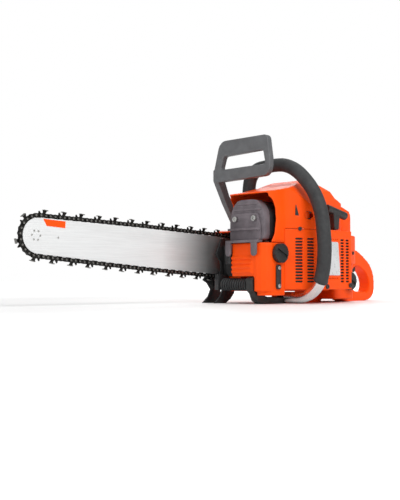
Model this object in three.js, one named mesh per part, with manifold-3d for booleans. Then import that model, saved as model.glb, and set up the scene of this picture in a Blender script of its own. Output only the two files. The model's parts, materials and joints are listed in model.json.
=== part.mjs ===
// A 70 cc forestry chainsaw, modelled as its separate pieces.
// Millimetres. Origin on the ground under the base. +X runs from the bar's nose to the rear handle,
// +Y points to the bar and clutch side, +Z is up.

import * as THREE from "three";
import { mergeVertices } from "three/addons/utils/BufferGeometryUtils.js";
import Module from "manifold-3d";

const wasm = await Module();
wasm.setup();

// Driving dimensions.
const GAP = 0.3;                            // clearance between pieces that touch
const WALL = 3;                             // plastic and cast cover walls
const CRANK = { x: -12, z: 81 };            // crankshaft axis, which runs along Y
const CASE = { front: -140, rear: 60, left: -48, right: 48, base: 22, top: 106 };
const BAR = { plane: 75, thick: 4.6, tilt: 0.0544, tail: -32, nose: -493, noseR: 27, deep: 34.5 };
const CHAIN = { height: 8, width: 7, sprocketR: 21 };
const STUDS = [-86, -54];                   // along the bar, from the crankshaft axis
const STUD_R = 4;
const HANDLE = { x: -50, tubeR: 10, gripR: 12.3 };
const GUARD = { x: -100, thick: 12, pivotX: -35, pivotZ: 142, armInner: 83, armOuter: 95 };
const STARTER = { seamX: -86, seamY: -59.5, cornerX: -20, side: -95, rear: 64, base: 25, top: 131 };
const SLOTS = { count: 15, pitch: 5.35, height: 3.1, low: 37.5 };
const OIL_CAP = { x: -104.5, face: -60, z: 88 };
const FUEL_CAP = { x: 108, face: -55, z: 40 };
const CAP = { r: 17, plugR: 13, depth: 8, plug: 11, seal: 1.2 };
const PULLEY = { r: 19, from: -83.5, to: -74 };
const GRIP = { x: 32, y: -79, z: 167, tilt: 0.2, r: 7.4 };
const MUFFLER = { front: -130, back: -66, left: -50, right: 27, low: 110.3, high: 182 };
const BUTTON = { x: -44, z: 156 };
const TRIGGER = { x: 196, z: 84 };
const LOCKOUT = { x: 222, z: 83 };
const SWITCH = { x: 166, z: 97 };

// Shape helpers. Outlines are lists of [u, v] points.
function toSolid(geometry) {
  const bare = geometry.clone();
  bare.deleteAttribute("normal");
  bare.deleteAttribute("uv");
  const merged = mergeVertices(bare, 1e-4);
  return new wasm.Manifold(new wasm.Mesh({
    numProp: 3,
    vertProperties: Float32Array.from(merged.attributes.position.array),
    triVerts: Uint32Array.from(merged.index.array),
  }));
}

function fromSolid(solid) {
  const raw = solid.getMesh();
  const geometry = new THREE.BufferGeometry();
  geometry.setAttribute("position", new THREE.BufferAttribute(raw.vertProperties, 3));
  geometry.setIndex(new THREE.BufferAttribute(raw.triVerts, 1));
  geometry.computeVertexNormals();
  return geometry;
}

// An outline pushed along one axis: "x" takes [y, z], "y" takes [x, z] and "z" takes [x, y].
function prism(outline, axis, from, to) {
  const shape = new THREE.Shape(outline.map(([u, v]) => new THREE.Vector2(u, v)));
  const geometry = new THREE.ExtrudeGeometry(shape, { depth: to - from, bevelEnabled: false });
  if (axis === "y") {
    geometry.rotateX(Math.PI / 2);
    geometry.translate(0, to, 0);
  } else if (axis === "x") {
    const basis = new THREE.Matrix4();
    basis.makeBasis(new THREE.Vector3(0, 1, 0), new THREE.Vector3(0, 0, 1), new THREE.Vector3(1, 0, 0));
    geometry.applyMatrix4(basis);
    geometry.translate(from, 0, 0);
  } else {
    geometry.translate(0, 0, from);
  }
  return toSolid(geometry);
}

function box([x0, x1], [y0, y1], [z0, z1]) {
  return prism([[x0, y0], [x1, y0], [x1, y1], [x0, y1]], "z", z0, z1);
}

function circle(u, v, radius, sides = 16) {
  const points = [];
  for (let i = 0; i < sides; i += 1) {
    const angle = (2 * Math.PI * i) / sides;
    points.push([u + radius * Math.cos(angle), v + radius * Math.sin(angle)]);
  }
  return points;
}

function arc(u, v, radius, start, end, steps) {
  const points = [];
  for (let i = 0; i <= steps; i += 1) {
    const angle = start + ((end - start) * i) / steps;
    points.push([u + radius * Math.cos(angle), v + radius * Math.sin(angle)]);
  }
  return points;
}

function rod(u, v, radius, axis, from, to, sides = 16) {
  return prism(circle(u, v, radius, sides), axis, from, to);
}

// An outline with each corner rounded off over a length of "radius" along both of its edges.
function rounded(outline, radius, steps = 2) {
  const points = [];
  const n = outline.length;
  outline.forEach(([u, v], i) => {
    const before = new THREE.Vector2(...outline[(i + n - 1) % n]);
    const after = new THREE.Vector2(...outline[(i + 1) % n]);
    const corner = new THREE.Vector2(u, v);
    const reach = Math.min(radius, corner.distanceTo(before) * 0.45, corner.distanceTo(after) * 0.45);
    const start = corner.clone().lerp(before, reach / corner.distanceTo(before));
    const end = corner.clone().lerp(after, reach / corner.distanceTo(after));
    const bend = new THREE.QuadraticBezierCurve(start, corner, end);
    bend.getPoints(steps).forEach((p) => points.push([p.x, p.y]));
  });
  return points;
}

function join(first, ...others) {
  return others.reduce((whole, piece) => whole.add(piece), first);
}

function cut(first, ...others) {
  return others.reduce((whole, piece) => whole.subtract(piece), first);
}

function tube(points, radius, steps, sides) {
  const section = new THREE.Shape(circle(0, 0, radius, sides).map(([u, v]) => new THREE.Vector2(u, v)));
  const path = new THREE.CatmullRomCurve3(points.map((p) => new THREE.Vector3(...p)), false, "centripetal");
  return toSolid(new THREE.ExtrudeGeometry(section, { steps, extrudePath: path, bevelEnabled: false }));
}

function finish(color, roughness, metalness) {
  return new THREE.MeshStandardMaterial({ color, roughness, metalness });
}

const ORANGE = finish("#f2560f", 0.45, 0);
const BLACK = finish("#1b1b1a", 0.6, 0);
const RUBBER = finish("#2a2b2b", 0.8, 0);
const GREY = finish("#5c5e5f", 0.55, 0);
const STEEL = finish("#b9bab8", 0.35, 1);
const DARK_STEEL = finish("#3b3a38", 0.5, 1);
const ALUMINIUM = finish("#c9cac8", 0.4, 1);
const HOT_STEEL = finish("#5a5450", 0.6, 0.8);
const SILVER = finish("#c4c6c6", 0.4, 0.4);
const FELT = finish("#d8cfae", 0.9, 0);

const saw = new THREE.Group();
const pieces = [];

function add(name, shape, material, parent = saw, place = [0, 0, 0]) {
  const mesh = new THREE.Mesh(fromSolid(shape), material);
  mesh.name = name;
  mesh.position.set(...place);
  parent.add(mesh);
  pieces.push(mesh);
  return mesh;
}

// Crankcase: the base casting, with the crank chamber, the oil tank and the bar pad.
function crankcase() {
  const plan = [
    [-112, CASE.right], [-112, 16], [CASE.front, 16], [CASE.front, -40], [-137, -49], [-131, -56],
    [-122, OIL_CAP.face], [STARTER.seamX, OIL_CAP.face], [STARTER.seamX, CASE.left],
    [CASE.rear, CASE.left], [CASE.rear, CASE.right],
  ];
  const foot = [
    [-132, -35], [-134, -44], [-126, -54], [-116, OIL_CAP.face], [STARTER.seamX, OIL_CAP.face],
    [STARTER.seamX, -35],
  ];
  let body = cut(prism(plan, "z", CASE.base, CASE.top), box([-145, -112], [-35, 60], [0, 48]));
  const barPad = box([-112, -58], [CASE.right - 1, BAR.plane - BAR.thick / 2 - GAP], [62, 104]);
  const catcherLug = box([-112, -96], [CASE.right - 1, 57], [40, 63]);
  body = join(body, prism(foot, "z", 15, CASE.base + 1), barPad, catcherLug);
  for (const z of [54, 62, 70, 78]) {
    body = join(body, box([CASE.front - 2.4, CASE.front + 1], [-30, 16], [z, z + 4]));
  }
  const chamber = rod(CRANK.x, CRANK.z, 25, "y", -20, 20);
  const mouth = rod(CRANK.x, 0, 23, "z", 90, 120);
  const shaftBore = rod(CRANK.x, CRANK.z, 8 + GAP, "y", -80, 80);
  const oilTank = box([-130, -70], [-46, 20], [34, 98]);
  const filler = rod(OIL_CAP.x, OIL_CAP.z, CAP.plugR + GAP, "y", -70, -40);
  body = cut(body, chamber, mouth, shaftBore, oilTank, filler);
  for (const along of STUDS) {
    body = cut(body, rod(...onBar(along), STUD_R + GAP, "y", 52, 90, 16));
  }
  return body;
}

// A point on the tilted bar's centreline, as [x, z].
function onBar(along) {
  return [CRANK.x + along * Math.cos(BAR.tilt), CRANK.z - along * Math.sin(BAR.tilt)];
}

function addEngine() {
  add("crankcase", crankcase(), ORANGE);

  const flywheelSide = join(
    rod(CRANK.x, CRANK.z, 8, "y", -69, -18),
    rod(CRANK.x, CRANK.z, 24, "y", -18, -8),
  );
  const clutchSide = join(
    rod(CRANK.x, CRANK.z, 24, "y", 8, 18),
    rod(CRANK.x, CRANK.z, 8, "y", 18, 60),
    rod(CRANK.x, CRANK.z, 5, "y", 60, 82),
  );
  const pinZ = CRANK.z + 14;
  add("crankshaft_flywheel_half", flywheelSide, STEEL);
  add("crankshaft_clutch_half", clutchSide, STEEL);

  const wristZ = 142;
  const piston = cut(rod(CRANK.x, 0, 23.6, "z", 126, 160), rod(CRANK.x, 0, 20, "z", 120, 154));
  add("piston", join(piston, rod(CRANK.x, wristZ, 5, "y", -21, 21, 16)), ALUMINIUM);
  const conrod = join(
    rod(CRANK.x, pinZ, 9.5, "y", -6, 6),
    rod(CRANK.x, wristZ, 8.5, "y", -6, 6),
    box([CRANK.x - 4.5, CRANK.x + 4.5], [-5, 5], [pinZ + 6, wristZ - 5]),
  );
  const crankPin = rod(CRANK.x, pinZ, 6, "y", -7.6, 7.6, 16);
  add("connecting_rod", join(cut(conrod, rod(CRANK.x, wristZ, 5.4, "y", -8, 8)), crankPin), STEEL);

  let cylinder = rod(CRANK.x, 0, 30, "z", CASE.top + GAP, 182);
  for (let z = 118; z <= 178; z += 12) {
    cylinder = join(cylinder, box([CRANK.x - 38, CRANK.x + 38], [-34, 34], [z, z + 3]));
  }
  const exhaust = rod(0, 132, 13, "x", MUFFLER.back + GAP, CRANK.x);
  const intake = rod(0, 124, 13, "x", CRANK.x, 40);
  cylinder = join(cylinder, exhaust, intake);
  const bore = rod(CRANK.x, 0, 24, "z", 100, 170);
  const ports = [rod(0, 132, 9, "x", -90, CRANK.x, 16), rod(0, 124, 9, "x", CRANK.x, 60, 16)];
  const plugHole = rod(CRANK.x, 0, 5, "z", 165, 190, 16);
  add("cylinder", cut(cylinder, bore, ...ports, plugHole), ALUMINIUM);
  const plug = join(
    rod(0, 0, 4.6, "z", -12, 1, 16),
    rod(0, 0, 9, "z", 0, 7, 6),
    rod(0, 0, 6, "z", 6, 24, 16),
  );
  add("spark_plug", plug, SILVER, saw, [CRANK.x, 0, 184.4]);

  const wheel = cut(rod(0, 0, 42, "y", -15, 0, 24), rod(0, 0, 8 + GAP, "y", -20, 5), ringCut(24, 36, -15, -4));
  add("flywheel", wheel, ALUMINIUM, saw, [CRANK.x, -51, CRANK.z]);
  add("ignition_coil", box([33, 55], [-66, CASE.left - GAP], [68, 100]), BLACK);

  const boot = cut(rod(0, 124, 15, "x", 40 + GAP, 73.5), rod(0, 124, 10, "x", 30, 80));
  add("intake_boot", boot, RUBBER);
  const throat = rod(0, 124, 10, "x", 70, 110);
  add("carburettor", cut(box([74, 104], [-20, 20], [104.5, 140]), throat), SILVER);
  const filter = prism(rounded([[107, -34], [124, -34], [124, 34], [107, 34]], 6), "z", 127, 158);
  add("air_filter", filter, FELT);

  add("oil_pump", box([-34, 10], [CASE.right + GAP, 61], [CASE.base + 2, 38]), DARK_STEEL);
}

function ringCut(inner, outer, from, to) {
  return cut(rod(0, 0, outer, "y", from, to), rod(0, 0, inner, "y", from - 1, to + 1));
}

// Muffler with its heat shield plate, support leg and two bolts.
function addMuffler() {
  const { front, back, left, right, low, high } = MUFFLER;
  const outer = rounded([[left, low], [right, low], [right, 162], [right - 14, high], [left + 16, high], [left, 162]], 10);
  const skirt = 15;
  const wall = 1.6;
  const body = grown(outer, -wall - GAP);
  let shell = cut(
    prism(body, "x", front + wall + GAP, back),
    prism(grown(body, -2), "x", front + wall + 2.3, back - 2),
  );
  shell = cut(shell, rod(0, 132, 9, "x", back - 5, back + 5, 16), box([-112, -96], [20, 30], [150, 164]));
  const bolts = [[13, 148.5], [-31, 148.5]];
  for (const [y, z] of bolts) {
    shell = cut(shell, rod(y, z, 3.2, "x", front, front + 8, 16));
  }
  add("muffler_body", shell, HOT_STEEL);
  let shield = cut(
    prism(outer, "x", front, front + skirt),
    prism(grown(outer, -wall), "x", front + wall, front + skirt + 1),
  );
  const ribs = [
    box([front - 2.5, front + 1], [left + 6, right - 6], [163, 166]),
    box([front - 2.5, front + 1], [left + 16, right - 16], [173, 175.5]),
  ];
  shield = join(shield, ...ribs);
  for (const [y, z] of bolts) {
    shield = cut(shield, rod(y, z, 3.2, "x", front - 5, front + 8, 16));
  }
  add("muffler_shield", shield, HOT_STEEL);
  bolts.forEach(([y, z], i) => {
    const bolt = join(rod(0, 0, 2.8, "x", -0.5, 11), cut(rod(0, 0, 5, "x", -4, -GAP), rod(0, 0, 2.6, "x", -5, -1.6, 6)));
    add(`muffler_bolt_${i + 1}`, bolt, STEEL, saw, [front - 3.3, y, z]);
  });
  const strap = rounded([
    [-44, 110], [-44, 134], [-38, 158], [18, 158], [26, 148], [26, 110],
  ], 6);
  const face = prism(strap, "x", front - 3.3, front - GAP);
  const brow = box([-140, front - 3], [-43, 26], [128, 132]);
  const shelf = box([-146, front - GAP], [-46, 26], [106.4, 110.5]);
  const longLeg = prism([...arc(-39, 89, 6, Math.PI, 2 * Math.PI, 6), [-33, 109], [-45, 109]], "x", -146, -142.7);
  const shortLeg = prism([...arc(20, 89, 6, Math.PI, 2 * Math.PI, 6), [26, 109], [14, 109]], "x", -146, -142.7);
  let bracket = join(face, brow, shelf, longLeg, shortLeg);
  for (const [y, z] of bolts) {
    bracket = cut(bracket, rod(y, z, 3.2, "x", front - 5, front + 8));
  }
  add("muffler_bracket", bracket, BLACK);
}

// Clutch side: clutch, drum with its sprocket, brake band, bar, chain, spikes and cover.
function addDrive() {
  const hub = cut(rod(0, 0, 30, "y", 52, 59.5), rod(0, 0, 8 + GAP, "y", 50, 62));
  add("clutch_hub", hub, DARK_STEEL, saw, [CRANK.x, 0, CRANK.z]);
  let drum = cut(rod(0, 0, 38, "y", 50.5, 66), rod(0, 0, 34.5, "y", 50, 62.5));
  drum = join(drum, rod(0, 0, 14, "y", 65, BAR.plane + 4, 16));
  const teeth = 8;
  for (let i = 0; i < teeth; i += 1) {
    const angle = (2 * Math.PI * i) / teeth;
    const tooth = rod(15 * Math.cos(angle), 15 * Math.sin(angle), 4.6, "y", 71.8, 78.2, 10);
    drum = join(drum, tooth);
  }
  add("clutch_drum", cut(drum, rod(0, 0, 5 + GAP, "y", 40, 90)), STEEL, saw, [CRANK.x, 0, CRANK.z]);
  const band = cut(ringCut(38.7, 40.4, 53, 63), box([-45, -36], [50, 66], [-6, 6]));
  add("brake_band", band, STEEL, saw, [CRANK.x, 0, CRANK.z]);

  const barGroup = new THREE.Group();
  barGroup.position.set(CRANK.x, BAR.plane, CRANK.z);
  barGroup.rotation.y = BAR.tilt;
  saw.add(barGroup);
  const half = BAR.thick / 2;
  let bar = prism(barOutline(0), "y", -half, half);
  bar = cut(bar, box([-106, -44], [-half - 1, half + 1], [-STUD_R - GAP, STUD_R + GAP]));
  const noseSlot = cut(rod(BAR.nose, 0, BAR.noseR + 4, "y", -1.4, 1.4), rod(BAR.nose, 0, 6, "y", -2, 2, 16));
  add("guide_bar", cut(bar, noseSlot), SILVER, barGroup);
  let noseWheel = cut(rod(0, 0, 24, "y", -1, 1), rod(0, 0, 6 + GAP, "y", -2, 2, 16));
  add("nose_sprocket", noseWheel, STEEL, barGroup, [BAR.nose, 0, 0]);
  const halfChain = CHAIN.width / 2;
  const loop = cut(
    prism(chainOutline(CHAIN.height), "y", -halfChain, halfChain),
    prism(chainOutline(GAP), "y", -halfChain - 1, halfChain + 1),
  );
  add("saw_chain", loop, DARK_STEEL, barGroup);

  STUDS.forEach((along, i) => {
    const [x, z] = onBar(along);
    add(`bar_stud_${i + 1}`, rod(0, 0, STUD_R, "y", 52.5, 104, 16), STEEL, saw, [x, 0, z]);
    const nut = cut(rod(0, 0, 8.7, "y", 0, 9, 6), rod(0, 0, STUD_R + GAP, "y", -1, 10, 16));
    add(`bar_nut_${i + 1}`, nut, STEEL, saw, [x, 93.4, z]);
  });

  addSpikes();
  add("chain_catcher", box([-113, -97], [61.5, 84], [26, 40 - GAP]), ALUMINIUM);
  add("clutch_cover", clutchCover(), ORANGE);
}

// The bar's outline, grown outwards by "grow", in the bar's own frame: nose to -X, edges up and down.
function barOutline(grow) {
  const upper = [[BAR.tail, 20 + grow], [-62, 32.5 + grow], [-96, BAR.deep + grow], [-290, 32 + grow]];
  const nose = arc(BAR.nose, 0, BAR.noseR + grow, Math.PI * 0.5, Math.PI * 1.5, 12);
  const lower = upper.map(([x, z]) => [x, -z]).reverse();
  return [...upper, ...nose, ...lower];
}

function chainOutline(grow) {
  const upper = [[-62, 32.5 + grow], [-96, BAR.deep + grow], [-290, 32 + grow]];
  const nose = arc(BAR.nose, 0, BAR.noseR + grow, Math.PI * 0.5, Math.PI * 1.5, 16);
  const lower = upper.map(([x, z]) => [x, -z]).reverse();
  const rear = arc(0, 0, CHAIN.sprocketR + grow, -Math.PI * 0.56, Math.PI * 0.56, 10);
  return [...upper, ...nose, ...lower, ...rear];
}

// A felling spike plate: a foot on the ground, a deep gullet, two teeth and the mounting edge.
function spikeOutline(rearEdge) {
  return [
    [-140, 0], [-111, 0], ...rearEdge, [-113, 117], [-123, 117], [-128, 104],
    [-136, 88], [-124, 74], [-123, 58], [-139, 42], [-128, 36], [-119, 25], [-125, 12],
  ];
}

function addSpikes() {
  const inner = [[-98, 8], [-88, 19], [-88, 61], [-113, 61.7]];
  const outer = [[-98, 8], [-93, 18], [-97, 40], [-114, 61]];
  const flange = box([-116, -112.4], [17, 60], [49, 104]);
  const ear = box([-140, -115], [19, 32], [70, 96]);
  const springLug = box([-142, -112.4], [47.3, 56], [24, 52]);
  add("inner_spike", join(prism(spikeOutline(inner), "y", 57.6, 61.2), flange, ear, springLug), BLACK);
  add("outer_spike", prism(spikeOutline(outer), "y", 87.5, 91.1), BLACK);
}

function clutchCover() {
  const outline = rounded([
    [-112, 62], [-112, 108], [-92, 134], [-2, 134], [37, 112], [41, 70], [22, 32], [-60, 28], [-96, 44],
  ], 10);
  const inner = rounded([
    [-116, 65], [-116, 106], [-94, 131], [-3, 131], [34, 110], [38, 71], [20, 35], [-59, 31], [-98, 48],
  ], 8);
  const outer = prism(outline, "y", 62, 105).add(prism(rounded(shrink(outline, 0.93), 4), "y", 104, 108));
  let cover = cut(outer, prism(inner, "y", 61, 102));
  cover = join(cover, box([-111, -52], [BAR.plane + BAR.thick / 2 + GAP, 106], [70, 101]));
  cover = cut(cover, box([-107, -56], [93, 110], [75, 96]));
  cover = cut(cover, box([-120, -84], [61, 81], [30, 129.5]), box([-86, -30], [61, 92], [20, 40]));
  for (const along of STUDS) {
    cover = cut(cover, rod(...onBar(along), STUD_R + GAP, "y", 70, 110, 16));
  }
  return cover;
}

function shrink(outline, factor) {
  const middle = outline.reduce(([a, b], [u, v]) => [a + u / outline.length, b + v / outline.length], [0, 0]);
  return outline.map(([u, v]) => [middle[0] + (u - middle[0]) * factor, middle[1] + (v - middle[1]) * factor]);
}

// An outline moved outwards by "amount" all round, or inwards where it is negative.
function grown(outline, amount) {
  const area = outline.reduce((sum, [u, v], i) => {
    const [a, b] = outline[(i + 1) % outline.length];
    return sum + u * b - a * v;
  }, 0);
  const turn = Math.sign(area) * amount;
  return outline.map(([u, v], i) => {
    const [pu, pv] = outline[(i + outline.length - 1) % outline.length];
    const [nu, nv] = outline[(i + 1) % outline.length];
    const first = new THREE.Vector2(v - pv, pu - u).normalize();
    const second = new THREE.Vector2(nv - v, u - nu).normalize();
    const reach = turn / Math.max(0.4, 1 + first.dot(second));
    return [u + (first.x + second.x) * reach, v + (first.y + second.y) * reach];
  });
}

// Top cover over the cylinder and muffler: side profile, plan and cross-section meet in one shell.
function topCover() {
  const profile = [
    [-130, 187], [-130, 194], [-89, 201], [-47, 212], [-19, 223], [8, 227], [30, 218], [61, 196],
    [91, 185], [91, 131.4], [-86.4, 131.4], [-86.4, 106.4], [-120, 106.4],
    [-111, 122], [-107, 146], [-109, 166], [-114, 177], [-121, 184],
  ];
  const plan = [
    [-130, -53], [-118, -58.5], [-86, -59.5], [-24, -92.5], [-14, -92.5], [-4, -66], [91, -57], [91, 42],
    [-100, 42], [-130, 34],
  ];
  const section = rounded([
    [-93, 100], [-93, 160], [-62, 206], [-34, 227], [24, 227], [42, 208], [42, 100],
  ], 14);
  const outer = prism(profile, "y", -90, 50)
    .intersect(prism(rounded(plan, 8), "z", 100, 230))
    .intersect(prism(section, "x", -135, 95));
  const hollowProfile = [
    [-140, 60], [-140, 190], [-89, 197.6], [-47, 208.6], [-19, 219.6], [8, 223.4], [29, 214.8],
    [60, 192.6], [100, 180], [100, 60],
  ];
  const hollowPlan = grown(plan, -WALL).map(([u, v]) => [u < -120 ? -140 : u > 80 ? 100 : u, v]);
  const hollow = prism(hollowProfile, "y", -90, 50)
    .intersect(prism(hollowPlan, "z", 100, 230))
    .intersect(prism(grown(section, -WALL).map(([u, v]) => [u, v < 140 ? 90 : v]), "x", -140, 100));
  const button = rod(BUTTON.x, BUTTON.z, 7, "y", -100, -50, 16);
  const vent = prism([[-4.5, 0], [4.5, 0], [-3, 25]], "y", -3, 1.4).rotate([0, 0, -28]).translate([-65, -70.6, 154]);
  return cut(outer, hollow, button, vent);
}

function addCovers() {
  add("top_cover", topCover(), ORANGE);
  add("decompression_button", rod(0, 0, 6.4, "y", -19, 0, 16), BLACK, saw, [BUTTON.x, -58.5, BUTTON.z]);

  const plan = [[91.3, -50], [128, -50], [150, -30], [150, 30], [128, 42], [91.3, 42]];
  const profile = [[91.3, 126.3], [91.3, 184], [123, 174], [143, 152], [150, 126.3]];
  const inner = [[80, 100], [80, 180.6], [122, 171], [140, 150], [146, 100]];
  const outer = prism(rounded(plan, 8), "z", 126, 190).intersect(prism(profile, "y", -60, 60));
  const innerPlan = grown(plan, -WALL).map(([u, v]) => [u < 100 ? 80 : u, v]);
  const hollow = prism(innerPlan, "z", 100, 190).intersect(prism(inner, "y", -60, 60));
  add("air_filter_cover", cut(outer, hollow), ORANGE);
}

// Starter side: the cover with its cooling slots, the pulley, the rope and the pull grip.
function addStarter() {
  const { seamX, seamY, cornerX, side, rear, base, top } = STARTER;
  const backY = MUFFLER.left - 0.5;
  const start = seamX + GAP;
  const plan = [[start, backY], [start, seamY], [cornerX, side], [rear, side], [rear, backY]];
  const room = [
    [start + WALL, backY + 9], [start + WALL, seamY + 1], [cornerX + 1, side + WALL],
    [rear - WALL, side + WALL], [rear - WALL, backY + 9],
  ];
  let cover = cut(prism(plan, "z", base, top), prism(room, "z", base + WALL, top - WALL));
  cover = join(cover, rod(CRANK.x, CRANK.z, 5, "y", side + 1, PULLEY.to + 2, 16));
  const columns = [[-68, -55], [-48, -36], [30, 41], [46, 57]];
  for (const [x0, x1] of columns) {
    const cuts = [];
    for (let i = 0; i < SLOTS.count; i += 1) {
      const z = SLOTS.low + i * SLOTS.pitch;
      cuts.push(box([x0, x1], [side - 5, x0 < cornerX ? -56 : side + 8], [z, z + SLOTS.height]));
    }
    cover = cut(cover, ...cuts);
  }
  for (let i = 0; i < 7; i += 1) {
    const x = -15 + i * 5.6;
    cover = cut(cover, box([x, x + 3], [side - 5, side + 8], [43, 46]), box([x, x + 3], [side - 5, side + 8], [113, 116]));
  }
  cover = cut(cover, rod(GRIP.x, GRIP.y, 3.4, "z", top - 8, top + 4, 16));
  add("starter_cover", cover, ORANGE);

  const label = [[-18, 50], [27, 50], [21, 110], [-18, 110]];
  add("label_plate", prism(rounded(label, 3), "y", side - 1.4, side - GAP), SILVER);
  const corners = [[-12, 30], [58, 32]];
  corners.forEach(([x, z], i) => {
    const screw = cut(rod(0, 0, 4.4, "y", -2.6, -GAP), rod(0, 0, 2.2, "y", -3, -1.4, 6));
    add(`starter_cover_screw_${i + 1}`, screw, STEEL, saw, [x, side, z]);
  });

  let pulley = cut(rod(0, 0, PULLEY.r, "y", PULLEY.from, PULLEY.to), ringCut(15, 24, PULLEY.from + 3, PULLEY.to - 3));
  pulley = cut(pulley, rod(0, 0, 5 + GAP, "y", -100, -60, 16));
  add("starter_pulley", pulley, BLACK, saw, [CRANK.x, 0, CRANK.z]);
  const rope = [
    [9.8, -78.8, 82], [11, -78.8, 98], [24, -79, 116], [GRIP.x, GRIP.y, 128], [GRIP.x, GRIP.y, 133],
  ];
  add("starter_rope", tube(rope, 1.7, 14, 8), SILVER);
  const rise = Math.tan(GRIP.tilt);
  const bar = tube([[-22, 0, 22 * rise], [-8, 0, 8 * rise], [14, 0, -14 * rise], [34, 0, -34 * rise]], GRIP.r, 4, 16);
  const foot = top + 2.4 - GRIP.z;
  const stem = prism(rounded([[-6.5, foot], [6.5, foot], [10, -4], [-9, 1]], 3), "y", -6.2, 6.2);
  add("starter_grip", join(bar, stem), BLACK, saw, [GRIP.x, GRIP.y, GRIP.z]);
}

// Hand guard: a hoop in front of the handle, with one arm down to its pivot on the clutch side.
function addGuard() {
  const { x, thick, pivotX, pivotZ, armInner, armOuter } = GUARD;
  const hoop = [
    [-33, 225], [-41, 234], [-43, 252], [-37, 293], [-32, 298], [70, 298], [80, 290], [88, 262], [armOuter, 236],
    [armOuter, 222],
  ];
  const window = [[-32, 246], [-27, 271.5], [68, 269], [76, 245]];
  const frame = cut(
    prism(rounded(hoop, 6), "x", x - thick / 2, x + thick / 2),
    prism(rounded(window, 4), "x", x - thick, x + thick),
  );
  const arm = [
    [x - 6, 246], [x + 6, 246], [-74, 200], [-48, 164], [-26, 154], [-25, 140], [-35, 135.3], [-45, 139],
    [-60, 152], [-82, 184], [x - 6, 226],
  ];
  const guard = join(frame, prism(arm, "y", armInner, armOuter));
  add("hand_guard", cut(guard, rod(pivotX, pivotZ, 5 + GAP, "y", 70, 100, 16)), GREY);
  add("guard_pivot_pin", rod(pivotX, pivotZ, 5, "y", 48, 97, 16), STEEL);
  const bracket = join(
    box([-64, -20], [42.5, 49.5], [CASE.top + GAP, 152]),
    box([-64, -20], [49, 61.5], [123, 152]),
  );
  add("handle_bracket", cut(bracket, rod(pivotX, pivotZ, 5 + GAP, "y", 46, 70, 16)), BLACK);
}

// Front handlebar: one bent tube from the underside, up the left, over the top and down the right.
const HANDLE_ROUTE = [
  [-34.5, 11], [-52, 11], [-75, 12.5], [-93, 21], [-107, 36], [-115, 62], [-118, 97], [-116, 127], [-112, 155],
  [-105, 177], [-94, 198], [-78, 218], [-55, 238], [-29, 249], [10, 250], [36, 246], [50, 232], [55, 212],
  [55.5, 180], [55.5, 152.5],
];

class Stretch extends THREE.Curve {
  constructor(whole, from, to) {
    super();
    Object.assign(this, { whole, from, to });
  }

  getPoint(t) {
    return this.whole.getPointAt(this.from + (this.to - this.from) * t);
  }
}

function handlePath(radius, from, to, steps) {
  const points = HANDLE_ROUTE.map(([y, z]) => new THREE.Vector3(HANDLE.x, y, z));
  const whole = new THREE.CatmullRomCurve3(points, false, "centripetal");
  whole.arcLengthDivisions = 800;
  const section = new THREE.Shape(circle(0, 0, radius, 12).map(([u, v]) => new THREE.Vector2(u, v)));
  const extrudePath = new Stretch(whole, from, to);
  return toSolid(new THREE.ExtrudeGeometry(section, { steps, extrudePath, bevelEnabled: false }));
}

function addFrontHandle() {
  const steps = 32;
  add("front_handle_tube", handlePath(HANDLE.tubeR, 0, 1, steps), ALUMINIUM);
  const sleeve = cut(handlePath(HANDLE.gripR, 0.165, 0.985, 30), handlePath(HANDLE.tubeR + GAP, 0, 1, steps));
  add("handle_grip", sleeve, RUBBER);
  add("front_spring", rod(-130, 34, 11.5, "y", -18, 47, 20), BLACK);
  const side = [
    [-142, 24], [-143, 44], [-136, 48], [-123, 48], [-114.5, 40], [-113, 20], [-107, 14], [-100, 12], [-60, 12],
    [-56, 20], [-38, 20], [-38, 1], [-118, 0], [-128, 6], [-134, 18],
  ];
  const bracket = join(prism(side, "y", -33.5, -18.3), box([-56, -38], [-30, -14.3], [1, 20]));
  add("spring_bracket", bracket, BLACK);
}

// Fuel tank with the rear handle in one moulding, its two caps, the trigger, the lockout and the switch.
function tankHandle() {
  const low = [
    [66, -55], [126, -55], [148, -37], [172, -13], [172, 13], [162, 34], [148, 44], [66, 44],
  ];
  const high = [
    [66, -88], [98, -80], [123, -61], [141, -38], [155, -16], [155, 16], [148, 32], [133, 44], [66, 44],
  ];
  const outline = rounded([
    [140, 107], [202, 103], [228, 88], [249, 75], [263, 52], [264, 18], [252, 5], [236, 0], [150, 0], [140, 20],
  ], 12);
  const window = rounded([[182, 62], [187, 20], [243, 17], [248, 36], [237, 57], [204, 74]], 10);
  const loop = cut(prism(outline, "y", -13, 13), prism(window, "y", -20, 20));
  const runner = box([-36, 80], [-14, 14], [0, 20]);
  let body = join(
    prism(rounded(low, 8), "z", 6, 74),
    prism(rounded(high, 8), "z", 72, 125),
    loop,
    runner,
  );
  body = cut(body, box([60, 142], [-50, 38], [104, 130]));
  body = cut(body, prism(grown(low, -6), "z", 24, 70));
  body = cut(body, rod(FUEL_CAP.x, FUEL_CAP.z, CAP.plugR + GAP, "y", -60, -40));
  body = cut(body, box([186, 212], [-5.2, 5.2], [56, 93]));
  body = cut(body, box([215, 246], [-5.2, 5.2], [76, 115]));
  body = cut(body, box([SWITCH.x - 9, SWITCH.x + 9], [-5.2, 5.2], [88, 115]));
  return body;
}

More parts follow.
